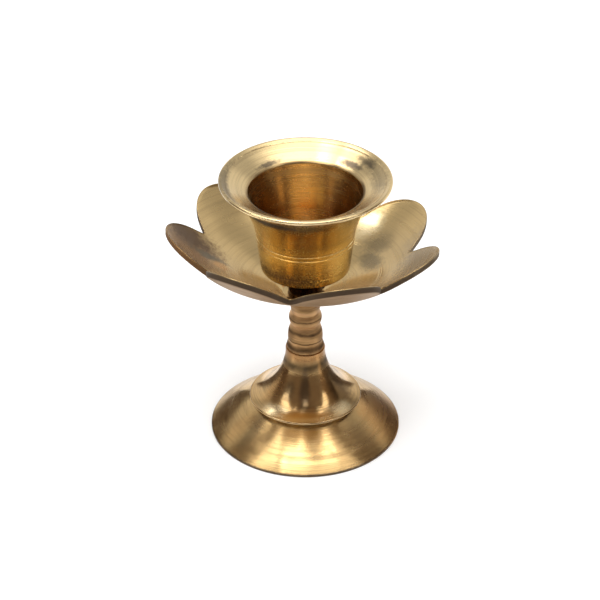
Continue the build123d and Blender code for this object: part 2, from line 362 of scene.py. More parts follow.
class Tree(Nodes):
    """A Geometry Nodes tree.

    Args:
        name: Its name.
        kinds: The name and kind of each of its inputs.
    """

    def __init__(self, name: str, kinds: dict[str, str]) -> None:
        """Add the inputs."""
        super().__init__(bpy.data.node_groups.new(name, "GeometryNodeTree"), "GeometryNode")
        self.tree.is_modifier = True
        self.socket_ids = {}
        for label, kind in kinds.items():
            item = self.tree.interface.new_socket(label, in_out="INPUT", socket_type=f"NodeSocket{kind}")
            self.socket_ids[label] = item.identifier
        given = self.tree.nodes.new("NodeGroupInput").outputs
        self.given = [Value(self, given[label]) for label in kinds]

    def finish(self, geometry: Value, material: Value) -> None:
        """End the tree in Realize Instances, Merge by Distance, Shade Smooth and Set Material.

        Args:
            geometry: What it has made.
            material: What it is made of.
        """
        real = self.node("RealizeInstances", {"Geometry": geometry})
        welded = self.node("MergeByDistance", {"Geometry": real, "Distance": WELD})
        smooth = self.node("SetShadeSmooth", {"Geometry": welded})
        self.tree.interface.new_socket("Geometry", in_out="OUTPUT", socket_type="NodeSocketGeometry")
        self.end("NodeGroupOutput", self.node("SetMaterial", {"Geometry": smooth, "Material": material}))


class TurningTree(Tree):
    """Sweeps an outline round the Z axis, on a hexagon or with a right-hand thread where asked."""

    def __init__(self) -> None:
        """Build the tree."""
        shaping = dict.fromkeys(SHAPING, "Float")
        super().__init__("turning", {"Outline": "Geometry", "Segments": "Int", "Material": "Material", **shaping})
        outline, segments, material, flats, pitch, depth, core = self.given
        count = self.node("AttributeDomainSize", {"Geometry": outline}, "Point Count")
        rows = count + 1
        grid = self.node("MeshGrid", {"Vertices X": segments + 1, "Vertices Y": rows}, "Mesh")
        index = self.node("InputIndex")
        turn = ((index + 0.5) / rows).floor() * (2 * pi) / segments
        drawn = {"Geometry": outline, "Value": self.node("InputPosition"), "Index": index % rows % count}
        radius, _, height = self.node("SampleIndex", drawn, data_type="FLOAT_VECTOR").parts()
        wave = (height / pitch - turn / (2 * pi)).pingpong(0.5) * 2.0
        radius = radius.smaller((radius - wave * depth).larger(core))
        radius = radius.smaller(flats * 0.5 / (turn % (pi / 3) - pi / 6).cosine())
        swept = self.node("CombineXYZ", {0: radius * turn.cosine(), 1: radius * turn.sine(), 2: height})
        self.finish(self.node("SetPosition", {"Geometry": grid, "Position": swept}), material)


class PetalTree(Tree):
    """Repeats one petal's sector round the Z axis."""

    def __init__(self) -> None:
        """Build the tree."""
        super().__init__("petal_ring", {"Petal": "Geometry", "Count": "Int", "Material": "Material"})
        petal, count, material = self.given
        spots = self.node("MeshLine", {"Count": count, "Offset": (0.0, 0.0, 0.0)})
        turn = self.node("CombineXYZ", {2: self.node("InputIndex") * (2 * pi / count)})
        ring = self.node("InstanceOnPoints", {"Points": spots, "Instance": petal, "Rotation": turn})
        self.finish(ring, material)


def linked(name: str, data: bpy.types.ID) -> Piece:
    """Put an object in the scene.

    Args:
        name: Its name.
        data: Its mesh, light or camera.

    Returns:
        The object.
    """
    made = bpy.data.objects.new(name, data)
    bpy.context.scene.collection.objects.link(made)
    return made


def baked(name: str, mesh: bpy.types.Mesh, tree: Tree, values: dict[str, object], turn: float = 0.0) -> Piece:
    """Run a Geometry Nodes tree on a mesh and keep the result as a plain object.

    Args:
        name: Name of the finished piece.
        mesh: What the tree works on.
        tree: The tree.
        values: Its inputs, by name.
        turn: How far to turn the finished mesh about Z, in radians.

    Returns:
        The piece, with no modifier left on it.
    """
    rough = linked(name + "_rough", mesh)
    modifier = rough.modifiers.new("shape", "NODES")
    modifier.node_group = tree.tree
    for key, value in values.items():
        modifier[tree.socket_ids[key]] = value
    graph = bpy.context.evaluated_depsgraph_get()
    made = bpy.data.meshes.new_from_object(rough.evaluated_get(graph), depsgraph=graph)
    made.name = name
    made.transform(Matrix.Rotation(turn, 4, "Z"))
    bpy.data.objects.remove(rough)
    shell = bmesh.new()
    shell.from_mesh(made)
    bmesh.ops.dissolve_degenerate(shell, dist=WELD, edges=shell.edges)
    bmesh.ops.recalc_face_normals(shell, faces=shell.faces)
    shell.to_mesh(made)
    shell.free()
    return linked(name, made)


# Finishes -----------------------------------------------------------------------------------------

# Scale of each noise, and its range over which the metal changes.
DRIFT_SCALE, DRIFT_RANGE = 45.0, (0.4, 0.66)
BLOTCH_SCALE, BLOTCH_RANGE = 140.0, (0.45, 0.7)
WANDER_SCALE, BROKEN_SCALE, BROKEN_RANGE = 300.0, 180.0, (0.35, 0.6)
FLECK_SCALE = 700.0
STREAK_RANGE = (0.9, 1.25)

# How much rougher each thing leaves the metal, and how much of its shine dirt and painted shade take.
BLOTCH_MATT, BAND_MATT, BROWN_MATT, DIRT_AND_SHADE_MATT = 0.06, 0.2, 0.12, 0.25
DIRT_AND_SHADE_LOSS = 0.12

OUTSIDE_RANGE = (0.02, 0.1)  # of the cosine of the angle between the surface and straight out
PATCH_EDGE = (0.3, 1.15)  # from full to none, in shares of a patch's spread

def material(name: str, draw: Callable[[Nodes], Value]) -> bpy.types.Material:
    """Make a material.

    Args:
        name: Its name.
        draw: What adds its nodes and returns its shader.

    Returns:
        The material.
    """
    made = bpy.data.materials.new(name)
    made.use_nodes = True
    nodes = Nodes(made.node_tree)
    nodes.end("ShaderNodeOutputMaterial", draw(nodes))
    return made


@dataclass(frozen=True)
class Surface:
    """Where a point of a turned piece lies, as values that the parts of its finish share.

    Args:
        nodes: The material's nodes.
        place: Object coordinates, upright and centred on the piece's own axis.
        radius: Distance from that axis.
        height: Height.
        along: Distance along the outline, across the tool lines.
        bearing: Unit vector out from the axis.
        outside: 1 where the surface faces away from the axis, 0 where it faces the axis, up or down.
    """

    nodes: Nodes
    place: Value
    radius: Value
    height: Value
    along: Value
    bearing: Value
    outside: Value

    def lines(self, pitch: float, turns: float) -> Value:
        """Draw lines round the axis, which start and end as they go round.

        Args:
            pitch: Distance between lines.
            turns: How often a line changes on its way round.

        Returns:
            A value that is about 0.5 on average.
        """
        x, y, _ = self.nodes.node("VectorMath", {0: self.bearing, "Scale": turns}, operation="SCALE").parts()
        return self.nodes.node("CombineXYZ", {0: x, 1: y, 2: self.along / pitch}).noise(1.0)


@dataclass(frozen=True)
class Patch:
    """A patch on a turned piece where the colour differs, longer round the axis or across the tool lines: tarnish
    and smudges, and some painted highlights, reflections and shade.

    Args:
        bearing: Where it is round the axis, in degrees.
        place: Radius and height of its middle, in millimetres.
        spread: Its reach round the axis, in degrees, and across the tool lines, in millimetres.
        colour: What it turns the metal to.
        share: How far, at its middle.
        matt: How much it adds to the roughness.
    """

    bearing: float
    place: Point
    spread: Point
    colour: Triple
    share: float = 0.8
    matt: float = 0.05

    def cover(self, surface: Surface, run: Point, ragged: Value) -> Value:
        """Find how far the patch covers the metal.

        Args:
            surface: Where a point lies.
            run: Radius and height that one step across the tool lines takes.
            ragged: Noise that breaks up its edge.

        Returns:
            Its share, from 0 to 1.
        """
        middle = (self.place[0] * run[0] + self.place[1] * run[1]) * MM
        sideways = surface.bearing.measured("DISTANCE", heading(self.bearing)) / radians(self.spread[0])
        across = (surface.along - middle) / (self.spread[1] * MM)
        away = surface.nodes.node("CombineXYZ", {0: sideways, 1: across}).measured("LENGTH")
        return (away + ragged).ramp(*PATCH_EDGE, self.share, 0.0)


@dataclass(frozen=True)
class BrassFinish:
    """Turned brass: fine tool lines round the axis, brown tarnish and a shine stretched across the lines.

    Args:
        slot: The material slot that it is for.
        colour: Clean metal.
        tarnish_and_shade: Metal that has gone brown, also the colour of the painted shade in creases.
        roughness: Of the clean metal.
        stretch: How much the tool lines stretch a highlight across themselves.
        run: Radius and height that one step across the tool lines takes.
        line_pitch: Distance between the lines that show.
        line_depth: How deep they are.
        tarnish_share: How much of the surface has drifted towards the tarnish.
        streaks: How strongly single lines are tarnished.
        bare: How much of the outside still shines as metal where it is clean.
        ragged: How far noise breaks up the edges of the patches.
        patches: Where the colour differs: tarnish and smudges, and some painted highlights, reflections and
            shade.
    """

    slot: Slot
    colour: Triple
    tarnish_and_shade: Triple
    roughness: float = 0.25
    stretch: float = 0.6
    run: Point = (0.7, -0.7)
    line_pitch: float = 0.45 * MM
    line_depth: float = 0.02 * MM
    tarnish_share: float = 0.3
    streaks: float = 0.35
    bare: float = 1.0
    ragged: float = 0.6
    patches: tuple[Patch, ...] = ()

    def upright(self, place: Value) -> Value:
        """Turn the coordinates upright, where the piece leans."""
        return place

    def metal(self, surface: Surface) -> Value | Triple:
        """Return the colour of the clean metal."""
        return self.colour

    def grime_and_shade(self, surface: Surface) -> Value | float:
        """Return how far dirt and painted shade cover the metal, beside the even drift: none here."""
        return 0.0

    def dulled(self, surface: Surface) -> Value | float:
        """Return how much rougher the unpolished parts are: there are none here."""
        return 0.0

    def surface(self, nodes: Nodes) -> Surface:
        """Work out where a point lies.

        Args:
            nodes: The material's nodes.

        Returns:
            The values that the finish shares.
        """
        place = self.upright(nodes.node("TexCoord", pick="Object"))
        x, y, height = place.parts()
        outward = nodes.node("CombineXYZ", {0: x, 1: y})
        radius = outward.measured("LENGTH")
        bearing = nodes.node("VectorMath", {0: outward}, operation="NORMALIZE")
        along_line = radius * self.run[0] + height * self.run[1]
        outside = nodes.node("NewGeometry", pick="True Normal").measured("DOT_PRODUCT", bearing)
        return Surface(nodes, place, radius, height, along_line, bearing, outside.ramp(*OUTSIDE_RANGE))

    def shader(self, nodes: Nodes) -> Value:
        """Mix the metal, its tool lines, its tarnish, its dirt and painted shade, and its patches.

        Args:
            nodes: The material's nodes.

        Returns:
            The shader.
        """
        surface = self.surface(nodes)
        lines = surface.lines(self.line_pitch, 0.8)
        bands = surface.lines(4 * self.line_pitch, 0.5)
        blotch = surface.place.noise(BLOTCH_SCALE, 4.0)
        aged = surface.place.noise(DRIFT_SCALE, 3.0).ramp(*DRIFT_RANGE) * self.tarnish_share
        streaks = (lines + bands).ramp(*STREAK_RANGE) * self.streaks
        dirt_and_shade = self.grime_and_shade(surface)
        brown = (aged + streaks).larger(dirt_and_shade)
        colour = nodes.mix(brown.smaller(1.0), self.metal(surface), self.tarnish_and_shade)
        rough = blotch.ramp(*BLOTCH_RANGE) * BLOTCH_MATT + self.roughness + (bands - 0.5) * BAND_MATT
        rough = rough + brown * BROWN_MATT + dirt_and_shade * DIRT_AND_SHADE_MATT + self.dulled(surface)
        flecks = surface.place.noise(FLECK_SCALE, 3.0)
        ragged = ((blotch + bands) * 0.5 + flecks - 1.0) * self.ragged
        for patch in self.patches:
            share = patch.cover(surface, self.run, ragged)
            colour = nodes.mix(share, colour, patch.colour)
            rough = rough + share * patch.matt
        x, y, _ = surface.bearing.parts()
        return nodes.node("BsdfPrincipled", {
            "Base Color": colour,
            "Metallic": 1.0 - dirt_and_shade * DIRT_AND_SHADE_LOSS - surface.outside * (1 - self.bare),
            "Roughness": rough,
            "Anisotropic": self.stretch,
            "Anisotropic Rotation": 0.25,
            "Tangent": nodes.node("CombineXYZ", {0: y * -1.0, 1: x}),
            "Normal": nodes.node("Bump", {"Strength": 1.0, "Distance": self.line_depth, "Height": lines}),
        })


@dataclass(frozen=True)
class CreasedBrass(BrassFinish):
    """Brass with painted shade, and some dirt, in the creases that go round it.

    Args:
        creases: Height and half width of each crease, in millimetres.
        dirt_and_shade: How dark the painted shade and dirt in the creases are.
        wander: How far the dirt wanders up and down.
    """

    creases: tuple[Point, ...] = ()
    dirt_and_shade: float = 1.0
    wander: float = 1.2 * MM

    def grime_and_shade(self, surface: Surface) -> Value:
        """Paint shade, with some dirt, into the creases, the more the nearer to their wandering middle.

        Args:
            surface: Where a point lies.

        Returns:
            How far painted shade and dirt cover the metal.
        """
        wandering = surface.height + (surface.place.noise(WANDER_SCALE) - 0.5) * self.wander
        broken = surface.place.noise(BROKEN_SCALE, 3.0).ramp(*BROKEN_RANGE, 0.8, 1.0)
        spots = [(height * MM, 0.0, 1.3 * reach * MM) for height, reach in self.creases]
        return wandering.rings(spots, self.dirt_and_shade) * broken


@dataclass(frozen=True)
class DishBrass(BrassFinish):
    """The dish's satin brass, with brown sawn edges and an unpolished underside, darkened partly as painted
    shade.

    Args:
        centre: Where its leaning axis meets the top of the stem.
        under_colour: Metal of the unpolished underside, darkened partly as painted shade.
        burnt_colour: Metal of the underside out at the petals.
        burnt_range: Radii between which the one turns into the other.
    """

    centre: Triple = (0.0, 0.0, 0.0)
    under_colour: Triple = (0.50, 0.32, 0.14)
    burnt_colour: Triple = (0.38, 0.26, 0.16)
    burnt_range: Point = (26 * MM, 38 * MM)

    def upright(self, place: Value) -> Value:
        """Take the lean and the shift out of the coordinates.

        Args:
            place: Object coordinates.

        Returns:
            Coordinates in which the bowl's axis is upright.
        """
        turn = Matrix.Rotation(radians(LEAN), 3, heading(LEAN_TOWARDS + 90)).to_euler()
        sockets = {"Vector": place, "Location": self.centre, "Rotation": turn}
        return place.nodes.node("Mapping", sockets, vector_type="TEXTURE")

    def written(self, surface: Surface, name: str) -> Value:
        """Read an attribute that the mesh carries."""
        return surface.nodes.node("Attribute", pick="Fac", attribute_name=name)

    def metal(self, surface: Surface) -> Value:
        """Brown the underside, the more the nearer to the petals' edges: unpolished metal, partly painted shade.
        """
        burnt = surface.nodes.mix(surface.radius.ramp(*self.burnt_range), self.under_colour, self.burnt_colour)
        return surface.nodes.mix(self.written(surface, "under"), self.colour, burnt)

    def grime_and_shade(self, surface: Surface) -> Value:
        """Darken the sawn edges."""
        return self.written(surface, "sawn") * 0.95

    def dulled(self, surface: Surface) -> Value:
        """Leave the underside as the saw and the cast left it."""
        return self.written(surface, "under") * 0.25


@dataclass(frozen=True)
class CupBrass(BrassFinish):
    """The cup's brass, with dark specks in bands under the mouth and over the base, painted shade on the neck and
    on the well's sides, and painted glints on the scribed lines.

    Args:
        mouth_colour: Clean metal of the polished mouth.
        inside_colour: Clean metal of the well.
        shade_colour: Painted shade on the well's left and right.
        neck_shade_colour: Painted shade on the neck, which stands in the cup's shadow.
        glint_colour: Painted glint on the scribed lines.
        throat: Height of the throat's edge, where the mouth ends.
        base: Height of the cup's base, with the neck below it.
        glint_line_heights: Heights of the scribed lines that carry a painted glint, in millimetres.
        bands: Height and half width of each band of specks, in millimetres.
        speck_size: Size of the specks.
        speck_gain: How much likelier they are in the middle of a band.
        speck_range: Range of their noise from bare to dark.
        side: Unit vector to the side where the specks gather.
    """

    mouth_colour: Triple = (0.80, 0.60, 0.31)
    inside_colour: Triple = (0.95, 0.62, 0.24)
    shade_colour: Triple = (0.22, 0.12, 0.045)
    neck_shade_colour: Triple = (0.12, 0.065, 0.03)
    glint_colour: Triple = (1.0, 0.80, 0.42)
    throat: float = 96.6 * MM
    base: float = 66.3 * MM
    glint_line_heights: Point = (78.3, 80.0)
    bands: tuple[Point, ...] = ((95.0, 5.0), (69.5, 5.0))
    speck_size: float = 0.5 * MM
    speck_gain: float = 0.34
    speck_range: Point = (0.63, 0.83)
    side: Triple = (-0.5, -0.87, 0.0)

    def metal(self, surface: Surface) -> Value:
        """Make the mouth paler than the side, paint shade on the well's sides and on the neck, and paint glints
        on the scribed lines.

        Args:
            surface: Where a point lies.

        Returns:
            The colour of the clean metal.
        """
        mix, height = surface.nodes.mix, surface.height
        # Painted glints on the scribed lines.
        line = height.rings([(line * MM, 0.1 * MM, 0.35 * MM) for line in self.glint_line_heights])
        side = mix(line, self.colour, self.glint_colour)
        # Painted shade on the neck below the cup's base.
        side = mix(height.ramp(self.base - 0.1 * MM, self.base), self.neck_shade_colour, side)
        # Painted shade on the well's left and right.
        shade = abs(surface.bearing.parts()[0]).ramp(0.3, 0.9, 0.0, 0.85)
        well = mix(shade, self.inside_colour, self.shade_colour)
        well = mix(surface.outside, well, side)
        return mix(height.ramp(self.throat - 1 * MM, self.throat + 1 * MM), well, self.mouth_colour)

    def grime_and_shade(self, surface: Surface) -> Value:
        """Scatter the specks outside, and draw a broken dark line at the throat's edge.

        Args:
            surface: Where a point lies.

        Returns:
            How far dirt covers the metal.
        """
        gathered = surface.bearing.measured("DOT_PRODUCT", self.side).ramp(0.3, 0.9)
        share = surface.height.rings([(height * MM, 0.0, reach * MM) for height, reach in self.bands])
        share = share * gathered * surface.outside
        specks = surface.place.noise(1 / self.speck_size, 3.0) + share * self.speck_gain
        edge = surface.height.rings([(self.throat, 0.1 * MM, 0.6 * MM)]) * (1.0 - surface.outside)
        edge = edge * surface.place.noise(60.0).ramp(0.4, 0.6, 0.3, 0.9)
        return specks.ramp(*self.speck_range, 0.0, 0.9).larger(edge)

    def dulled(self, surface: Surface) -> Value:
        """Leave the well less polished than the mouth."""
        return (1.0 - surface.outside) * surface.height.ramp(self.throat - 2 * MM, self.throat, 0.05, 0.0)


@dataclass(frozen=True)
class SteelFinish:
    """Plated steel, a little dull.

    Args:
        slot: The material slot that it is for.
        colour: The metal.
        roughness: Least and greatest roughness.
        grain_scale: Scale of its grain.
    """

    slot: Slot = Slot.STEEL
    colour: Triple = (0.52, 0.51, 0.49)
    roughness: Point = (0.28, 0.44)
    grain_scale: float = 900.0

    def shader(self, nodes: Nodes) -> Value:
        """Mix the metal and its grain.

        Args:
            nodes: The material's nodes.

        Returns:
            The shader.
        """
        grain = nodes.node("TexCoord", pick="Object").noise(self.grain_scale, 3.0)
        dull = grain.ramp(0.3, 0.7, *self.roughness)
        colour = nodes.mix(grain, self.colour, tuple(0.7 * c for c in self.colour))
        return nodes.node("BsdfPrincipled", {"Base Color": colour, "Metallic": 1.0, "Roughness": dull})


Finish = BrassFinish | SteelFinish

GREY_BROWN = (0.15, 0.117, 0.07)
SOOT_AND_SHADE = (0.09, 0.07, 0.055)
UMBER = (0.20, 0.105, 0.045)
BROWN = (0.25, 0.128, 0.048)
DARK_BROWN = (0.10, 0.052, 0.018)
GREY_TAN = (0.40, 0.31, 0.20)
TAN = (0.38, 0.195, 0.075)
STEM_REFLECTION_GOLD = (0.86, 0.54, 0.27)
CUP_REFLECTION_GOLD = (1.0, 0.76, 0.33)
COPPER = (0.62, 0.34, 0.12)
PAINTED_HIGHLIGHT_GOLD = (0.92, 0.74, 0.44)

FOOT_BRASS = CreasedBrass(
    Slot.FOOT, (0.68, 0.46, 0.20), (0.24, 0.14, 0.06), roughness=0.18, stretch=0.8, run=(0.84, -0.54),
    # Painted shade in the creases at the foot's bottom edge and under the knop's lip.
    creases=((0.1, 0.5), (11.6, 0.7)), dirt_and_shade=0.9, streaks=0.2,
    patches=(
        # Painted shade: a dark line round the foot's bottom edge.
        Patch(-90, (34, 0.3), (360, 0.9), SOOT_AND_SHADE, 0.85),
        Patch(-139, (25, 6.6), (7, 10), GREY_BROWN, 0.35),
        Patch(-152, (26, 6), (10, 12), COPPER, 0.4),
        Patch(-165, (26, 6), (14, 12), BROWN, 0.3),
        Patch(-42, (28, 5), (14, 12), UMBER, 0.35),
        Patch(-142, (21, 9), (14, 5), UMBER, 0.5),
        Patch(-6, (28, 5), (32, 14), COPPER, 0.9),
        Patch(4, (28, 5), (28, 14), BROWN, 0.45),
    ),
)
KNOP_BRASS = CreasedBrass(
    Slot.KNOP, (0.66, 0.43, 0.19), (0.07, 0.045, 0.022), roughness=0.15, stretch=0.5,
    # Painted shade and reflection in the dark band round the neck, and painted shade in the gap at the lip.
    creases=((28.2, 2.6), (12.0, 0.6)), dirt_and_shade=0.9, streaks=0.25, ragged=0.4,
    patches=(
        Patch(-90, (7, 33.4), (360, 3.4), TAN, 0.85, 0.15),
        # Painted reflection: the copper glow on the knop's right flank.
        Patch(-48, (10, 22), (10, 9), COPPER, 0.7),
        Patch(-152, (12.5, 21), (22, 9), COPPER, 0.6),
        Patch(-146, (12.5, 20), (18, 9), BROWN, 0.5),
        Patch(-24, (14, 19), (26, 10), DARK_BROWN, 0.85),
        # Painted reflection: the dark middle column that faces the front.
        Patch(-91, (10.5, 21.6), (13, 9), SOOT_AND_SHADE, 0.7),
        Patch(-122, (11.5, 20.4), (12, 5), GREY_BROWN, 0.55),
        # Painted highlights along the lip.
        Patch(-128, (17.3, 14.4), (20, 3), PAINTED_HIGHLIGHT_GOLD, 0.9, 0.08),
        Patch(-46, (17.3, 14.4), (20, 3), PAINTED_HIGHLIGHT_GOLD, 0.7, 0.08),
        Patch(-90, (19, 13.4), (60, 1.6), PAINTED_HIGHLIGHT_GOLD, 0.6, 0.1),
    ),
)
STEM_BRASS = CreasedBrass(
    Slot.STEM, (0.54, 0.32, 0.14), (0.06, 0.033, 0.016), roughness=0.40, stretch=0.4, run=(0.2, 1.0),
    # Painted reflection of the dark dish underside, with some dirt, in the dark rings round the stem.
    creases=((34.9, 1.4), (37.4, 0.4), (40.9, 0.9), (46.1, 0.5)), dirt_and_shade=0.85,
    patches=(
        # Painted reflections: paler rings where the beads face down.
        Patch(-90, (5.4, 43.6), (360, 1.8), STEM_REFLECTION_GOLD, 0.4),
        Patch(-90, (5.4, 48.6), (360, 1.6), STEM_REFLECTION_GOLD, 0.4),
    ),
)
DISH_BRASS = DishBrass(
    Slot.DISH, (0.65, 0.46, 0.21), (0.10, 0.068, 0.042), roughness=0.20, run=(0.88, 0.48),
    tarnish_share=0.08, streaks=0.14, centre=(-1.29 * MM, 0.18 * MM, 54.6 * MM),
    patches=(
        Patch(188, (40, 18.6), (29, 17), BROWN, 0.95),
        Patch(173, (41, 19.4), (15, 16), DARK_BROWN, 0.95, 0.08),
        Patch(181, (33, 14), (5, 9), GREY_BROWN, 0.9, 0.08),
        Patch(188, (29, 12), (7, 4), COPPER, 0.7),
        Patch(-8, (42, 20), (28, 13), GREY_TAN, 0.75),
        Patch(-18, (40, 18.6), (22, 11), GREY_BROWN, 0.4),
        Patch(24, (33, 13.8), (26, 12), GREY_TAN, 0.2),
        Patch(31, (31, 13), (12, 6), GREY_BROWN, 0.5, 0.08),
        Patch(17, (25, 10.2), (18, 5), GREY_BROWN, 0.7, 0.08),
        # Painted highlight beside the cup.
        Patch(48, (36, 15.7), (9, 8), PAINTED_HIGHLIGHT_GOLD, 0.8, -0.05),
    ),
)
CUP_BRASS = CupBrass(
    Slot.CUP, (0.82, 0.57, 0.19), (0.10, 0.06, 0.025), roughness=0.17, stretch=0.7, run=(0.5, 0.87),
    line_depth=0.03 * MM, tarnish_share=0.04, streaks=0.22, bare=0.96, ragged=0.9,
    patches=(
        Patch(128, (21.5, 97.4), (16, 1.2), SOOT_AND_SHADE, 0.8),
        Patch(44, (22.5, 98), (14, 1.6), SOOT_AND_SHADE, 0.9),
        Patch(30, (26, 99.5), (9, 0.9), SOOT_AND_SHADE, 0.8),
        Patch(10, (26, 99.5), (34, 3.6), GREY_BROWN, 0.5),
        Patch(35, (26.3, 99.6), (14, 1.9), GREY_BROWN, 0.75),
        # Painted reflections: brighter gold on the cup's sides.
        Patch(-50, (17, 74), (22, 8), CUP_REFLECTION_GOLD, 0.95),
        Patch(-143, (18, 83), (15, 9), CUP_REFLECTION_GOLD, 0.8),
        Patch(188, (28.8, 100.6), (40, 1.9), GREY_BROWN, 0.75),
        # Painted highlight along the front of the lip.
        Patch(-90, (27.5, 100.2), (60, 3), PAINTED_HIGHLIGHT_GOLD, 0.8, 0.15),
        Patch(-122, (22.3, 95.5), (30, 3.2), SOOT_AND_SHADE, 0.95),
        Patch(-118, (16.2, 71), (38, 5), UMBER, 0.5),
    ),
)
STEEL = SteelFinish()


# Pieces -------------------------------------------------------------------------------------------


@dataclass
class Workshop:
    """What every piece shares: the trees, the materials and the rod hole.

    Args:
        rod_hole: Radius of the hole for the tie rod.
        edge_round: How far an edge is rounded.
        turning: Turns an outline.
        petals: Repeats a petal.
        materials: The materials made so far.
    """

    rod_hole: float = 2.2 * MM
    edge_round: float = 0.16 * MM
    turning: TurningTree = field(default_factory=TurningTree)
    petals: PetalTree = field(default_factory=PetalTree)
    materials: dict[Slot, bpy.types.Material] = field(default_factory=dict)

    def material(self, finish: Finish) -> bpy.types.Material:
        """Get a finish's material, which is built the first time.

        Args:
            finish: The finish.

        Returns:
            The material.
        """
        if finish.slot not in self.materials:
            self.materials[finish.slot] = material(finish.slot.value, finish.shader)
        return self.materials[finish.slot]

    def turned(
        self, node: str, outline: Outline, finish: Finish, segments: int = 256, flats: float = 1.0,
        thread: Triple = (1.0, 0.0, 0.0),
    ) -> Piece:
        """Turn a piece on the lathe, and let it stand for its CAD node.

        Args:
            node: Name of the CAD node.
            outline: Its closed outline.
            finish: Its finish.
            segments: Straight runs round the axis.
            flats: Width across flats of the hexagon that it is cut to, or more than the piece for none.
            thread: Pitch, depth and core radius of its thread.

        Returns:
            The finished piece.
        """
        mesh = bpy.data.meshes.new(node + "_outline")
        mesh.from_pydata([(radius, 0.0, height) for radius, height in outline.points], [], [])
        values = {"Segments": segments, "Material": self.material(finish), **dict(zip(SHAPING, (flats, *thread)))}
        return self.placed(baked(f"turned_{node}", mesh, self.turning, values), node, finish)

    def placed(self, piece: Piece, node: str, finish: Finish) -> Piece:
        """Let a piece ride and stand for its CAD node.

        Args:
            piece: The piece.
            node: Name of the CAD node.
            finish: Not used.

        Returns:
            The piece.
        """
        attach(piece, BODY)
        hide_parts(node)
        return piece


@dataclass
class Group:
    """A sub-assembly: it holds its sizes, and its methods make its pieces.

    Args:
        shop: Where they are made.
    """

    shop: Workshop

    def softened(self, node: str, outline: Outline, finish: Finish, segments: int = 256) -> Piece:
        """Turn a piece with its edges rounded."""
        return self.shop.turned(node, outline.softened(self.shop.edge_round), finish, segments)


@dataclass
class Foot(Group):
    """The hollow skirt and the bell-shaped knop that stands on it."""

    edge_height: float = 0.7 * MM
    ring_width: float = 1.6 * MM
    seat_radius: float = 17.6 * MM
    bulge: float = 0.45 * MM
    wall: float = 1.6 * MM
    lip_radius: float = 20.0 * MM
    lip_thickness: float = 1.1 * MM
    lip_lift: float = 0.8 * MM
    lip_handle: float = 7.6 * MM
    lip_slope: float = 20.0
    neck_radius: float = 7.0 * MM
    neck_land: float = 1.0 * MM
    neck_handle: float = 7.2 * MM
    seat_margin: float = 0.6 * MM
    relief_radius: float = 13.0 * MM
    relief_depth: float = 0.6 * MM
    spigot_hole_radius: float = 4.5 * MM
    spigot_hole_depth: float = 1.7 * MM

    def build(self) -> list[Piece]:
        """Turn both pieces."""
        return [self.skirt(), self.knop()]

    def skirt(self) -> Piece:
        """Turn the skirt: a shallow cone of even wall under a flat seat.

        Returns:
            The piece.
        """
        foot_radius, _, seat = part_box("foot_skirt")[1]
        slope = atan2(seat - self.edge_height, foot_radius - self.seat_radius)
        plate = (self.seat_radius - self.wall * tan(slope / 2), seat - self.wall)
        outline = Outline([(foot_radius, 0.0), (foot_radius, self.edge_height)])
        outline.bowed((self.seat_radius, seat), self.bulge)
        outline.to((self.shop.rod_hole, seat), (self.shop.rod_hole, plate[1]), plate)
        outline.bowed((foot_radius - self.ring_width, 0.0), -self.bulge)
        return self.softened("foot_skirt", outline, FOOT_BRASS)

    def knop(self) -> Piece:
        """Turn the knop: a bell with a rounded lip over the skirt's seat.

        Returns:
            The piece.
        """
        seat, top = heights("bell_knop")
        lip = self.lip_thickness / 2
        under = (self.lip_radius - lip, seat + self.lip_lift)
        over = (under[0], under[1] + self.lip_thickness)
        neck = (self.neck_radius, top - self.neck_land)
        hole_floor, relief = top - self.spigot_hole_depth, seat + self.relief_depth
        outline = Outline([(self.seat_radius - self.seat_margin, seat), under], curve_steps=36)
        outline.arc(along(under, 45, sqrt(2) * lip), over)
        lip_handle = along(over, 180 - self.lip_slope, self.lip_handle)
        outline.bezier(lip_handle, (self.neck_radius, neck[1] - self.neck_handle), neck)
        outline.to((self.neck_radius, top), (self.spigot_hole_radius, top), (self.spigot_hole_radius, hole_floor))
        outline.to((self.shop.rod_hole, hole_floor), (self.shop.rod_hole, relief))
        outline.to((self.relief_radius, relief), (self.relief_radius, seat))
        return self.softened("bell_knop", outline, KNOP_BRASS)


@dataclass
class Stem(Group):
    """The ringed stem: a cone, two beads between narrow waists, and a collar."""

    foot_radius: float = 6.6 * MM
    foot_land: float = 1.2 * MM
    head_radius: float = 6.1 * MM
    head_land: float = 1.2 * MM
    waist_radius: float = 5.0 * MM
    low_waist_radius: float = 6.05 * MM
    low_waist_height: float = 3.0 * MM
    lower_bead_radius: float = 6.2 * MM
    lower_bead_height: float = 6.9 * MM
    lower_bead_crest: float = 2.3 * MM
    upper_bead_radius: float = 5.85 * MM
    upper_bead_height: float = 5.1 * MM
    flare_start: Point = (0.1 * MM, 0.8 * MM)
    spigot_radius: float = 4.4 * MM

    def build(self) -> list[Piece]:
        """Turn the stem.

        Returns:
            The piece, in a list.
        """
        foot = heights("bell_knop")[1]
        bottom, top = heights("stem")
        low = (self.low_waist_radius, foot + self.low_waist_height)
        middle = (self.waist_radius, low[1] + self.lower_bead_height)
        high = (self.waist_radius, middle[1] + self.upper_bead_height)
        hole, spigot, radius = self.shop.rod_hole, self.spigot_radius, self.foot_radius
        outline = Outline([(hole, top), (hole, bottom), (spigot, bottom), (spigot, foot), (radius, foot)])
        outline.to((radius, foot + self.foot_land), low)
        outline.arc((self.lower_bead_radius, low[1] + self.lower_bead_crest), middle)
        outline.arc((self.upper_bead_radius, middle[1] + self.upper_bead_height / 2), high)
        flare = (high[0] + self.flare_start[0], high[1] + self.flare_start[1])
        outline.arc(flare, (self.head_radius, top - self.head_land)).to((self.head_radius, top))
        return [self.softened("stem", outline, STEM_BRASS)]


